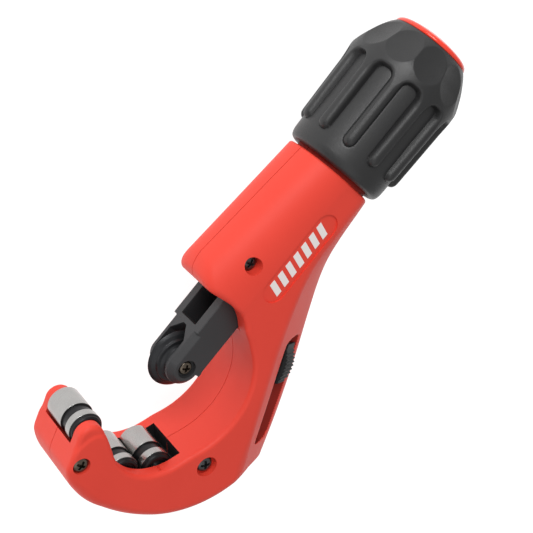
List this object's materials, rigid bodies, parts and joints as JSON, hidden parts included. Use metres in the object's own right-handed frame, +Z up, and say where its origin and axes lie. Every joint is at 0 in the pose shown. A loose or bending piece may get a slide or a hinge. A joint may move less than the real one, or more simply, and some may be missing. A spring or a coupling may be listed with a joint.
{
  "type": "pipe cutter",
  "caption": "Hand pipe cutter: C-shaped two-shell body with guide rollers, screw-fed wheel carriage, ribbed turning knob, pull-off end cap and sliding reamer.",
  "frame": {"origin": "bottom centre of the bounding box, the tool lying on its side with the jaw's near cheek up", "axes": "+X along the barrel from the jaw to the end cap, +Y out of the jaw's open side, +Z up, square to the cheeks"},
  "size_m": [0.2024, 0.0918, 0.0444],
  "materials": {
    "red_plastic": "satin, fine grain",
    "charcoal_plastic": "matt, fine grain",
    "black_steel": "black oxide",
    "bright_steel": "ground",
    "brass": "machined"
  },
  "bodies": {
    "housing": {"body_shell_near": "red_plastic", "body_shell_far": "red_plastic", "body_screw_upper": "black_steel", "body_screw_rear": "black_steel", "body_screw_tip": "black_steel", "roller_pin_tip": "bright_steel", "roller_pin_middle": "bright_steel", "roller_pin_rear": "bright_steel", "thrust_washer_lower": "brass", "thrust_washer_upper": "brass"},
    "knob_unit": {"knob": "charcoal_plastic", "feed_spindle": "bright_steel", "knob_washer": "bright_steel", "knob_screw": "black_steel"},
    "cap_unit": {"end_cap": "red_plastic", "spare_wheel": "black_steel", "spare_bearing_outer": "bright_steel", "spare_bearing_cage": "brass", "spare_bearing_inner": "bright_steel"},
    "carriage_unit": {"carriage": "charcoal_plastic", "feed_nut": "brass", "wheel_axle_screw": "black_steel", "wheel_spacer_near": "bright_steel", "wheel_spacer_far": "bright_steel", "wheel_bearing_inner": "bright_steel"},
    "wheel_unit": {"cutting_wheel": "black_steel", "wheel_bearing_outer": "bright_steel"},
    "wheel_balls": {"wheel_bearing_cage": "brass"},
    "reamer_unit": {"reamer_slider": "charcoal_plastic", "reamer_blade": "bright_steel", "reamer_rivet": "bright_steel"},
    "roller_tip_unit": {"roller_tip": "bright_steel", "roller_bush_tip_near": "black_steel", "roller_bush_tip_far": "black_steel"},
    "roller_middle_unit": {"roller_middle": "bright_steel", "roller_bush_middle_near": "black_steel", "roller_bush_middle_far": "black_steel"},
    "roller_rear_unit": {"roller_rear": "bright_steel", "roller_bush_rear_near": "black_steel", "roller_bush_rear_far": "black_steel"}
  },
  "joints": [
    {"name": "knob_turn", "type": "hinge", "parent": "housing", "child": "knob_unit", "pos_m": [0.04374, 0.01877, 0.02219], "axis": [-1, 0, 0], "range_deg": [-1440, 2160]},
    {"name": "carriage_slide", "type": "slide", "parent": "housing", "child": "carriage_unit", "axis": [-1, 0, 0], "range_m": [-0.0161, 0.0241]},
    {"name": "wheel_spin", "type": "hinge", "parent": "carriage_unit", "child": "wheel_unit", "pos_m": [-0.04386, 0.02027, 0.02219], "axis": [0, 0, 1], "continuous": true},
    {"name": "wheel_balls_spin", "type": "hinge", "parent": "carriage_unit", "child": "wheel_balls", "pos_m": [-0.04386, 0.02027, 0.02219], "axis": [0, 0, 1], "continuous": true},
    {"name": "cap_pull", "type": "slide", "parent": "knob_unit", "child": "cap_unit", "axis": [1, 0, 0], "range_m": [0, 0.03]},
    {"name": "reamer_slide", "type": "slide", "parent": "housing", "child": "reamer_unit", "axis": [-0.8763, -0.4818, 0], "range_m": [0, 0.024]},
    {"name": "roller_tip_spin", "type": "hinge", "parent": "housing", "child": "roller_tip_unit", "pos_m": [-0.07966, 0.03972, 0.02219], "axis": [0, 0, 1], "continuous": true},
    {"name": "roller_middle_spin", "type": "hinge", "parent": "housing", "child": "roller_middle_unit", "pos_m": [-0.08696, 0.01337, 0.02219], "axis": [0, 0, 1], "continuous": true},
    {"name": "roller_rear_spin", "type": "hinge", "parent": "housing", "child": "roller_rear_unit", "pos_m": [-0.07946, 0.00227, 0.02219], "axis": [0, 0, 1], "continuous": true}
  ],
  "couplings": [
    {"joint": "carriage_slide", "follows": "knob_turn", "m_per_rad": 0.00063662},
    {"joint": "wheel_balls_spin", "follows": "wheel_spin", "ratio": 0.57}
  ]
}
